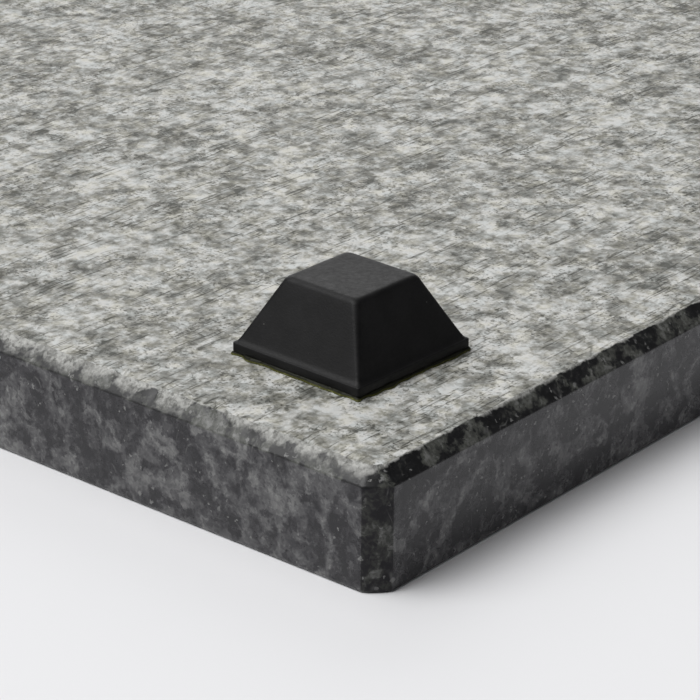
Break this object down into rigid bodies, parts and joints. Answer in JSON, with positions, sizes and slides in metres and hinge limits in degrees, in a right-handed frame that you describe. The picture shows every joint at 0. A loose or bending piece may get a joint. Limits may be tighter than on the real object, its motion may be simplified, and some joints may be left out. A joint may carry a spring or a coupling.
{
  "type": "granite slab",
  "caption": "Square granite slab with a polished working face, chamfered edges and a sawn underside that carries tapered stick-on rubber feet; a firm base for stamping and skiving leather.",
  "frame": {"origin": "centre of the polished working face, which the slab lies on, at the bottom of its bounding box", "axes": "+Z out of the sawn underside, towards the feet; X and Y along the slab's edges. In use the slab is turned over and stands on the feet, with -Z up"},
  "size_m": [0.3048, 0.3048, 0.0158],
  "materials": {
    "granite": "dark speckled granite, polished on the working face and edges, sawn and pale on the underside",
    "foot_rubber": "matte moulded black rubber",
    "foot_adhesive": "thin translucent yellowish adhesive"
  },
  "bodies": {
    "root": {"granite_slab": "granite", "foot_front_left": "foot_rubber", "foot_front_right": "foot_rubber", "foot_back_left": "foot_rubber", "foot_back_right": "foot_rubber", "adhesive_front_left": "foot_adhesive", "adhesive_front_right": "foot_adhesive", "adhesive_back_left": "foot_adhesive", "adhesive_back_right": "foot_adhesive"}
  },
  "joints": []
}
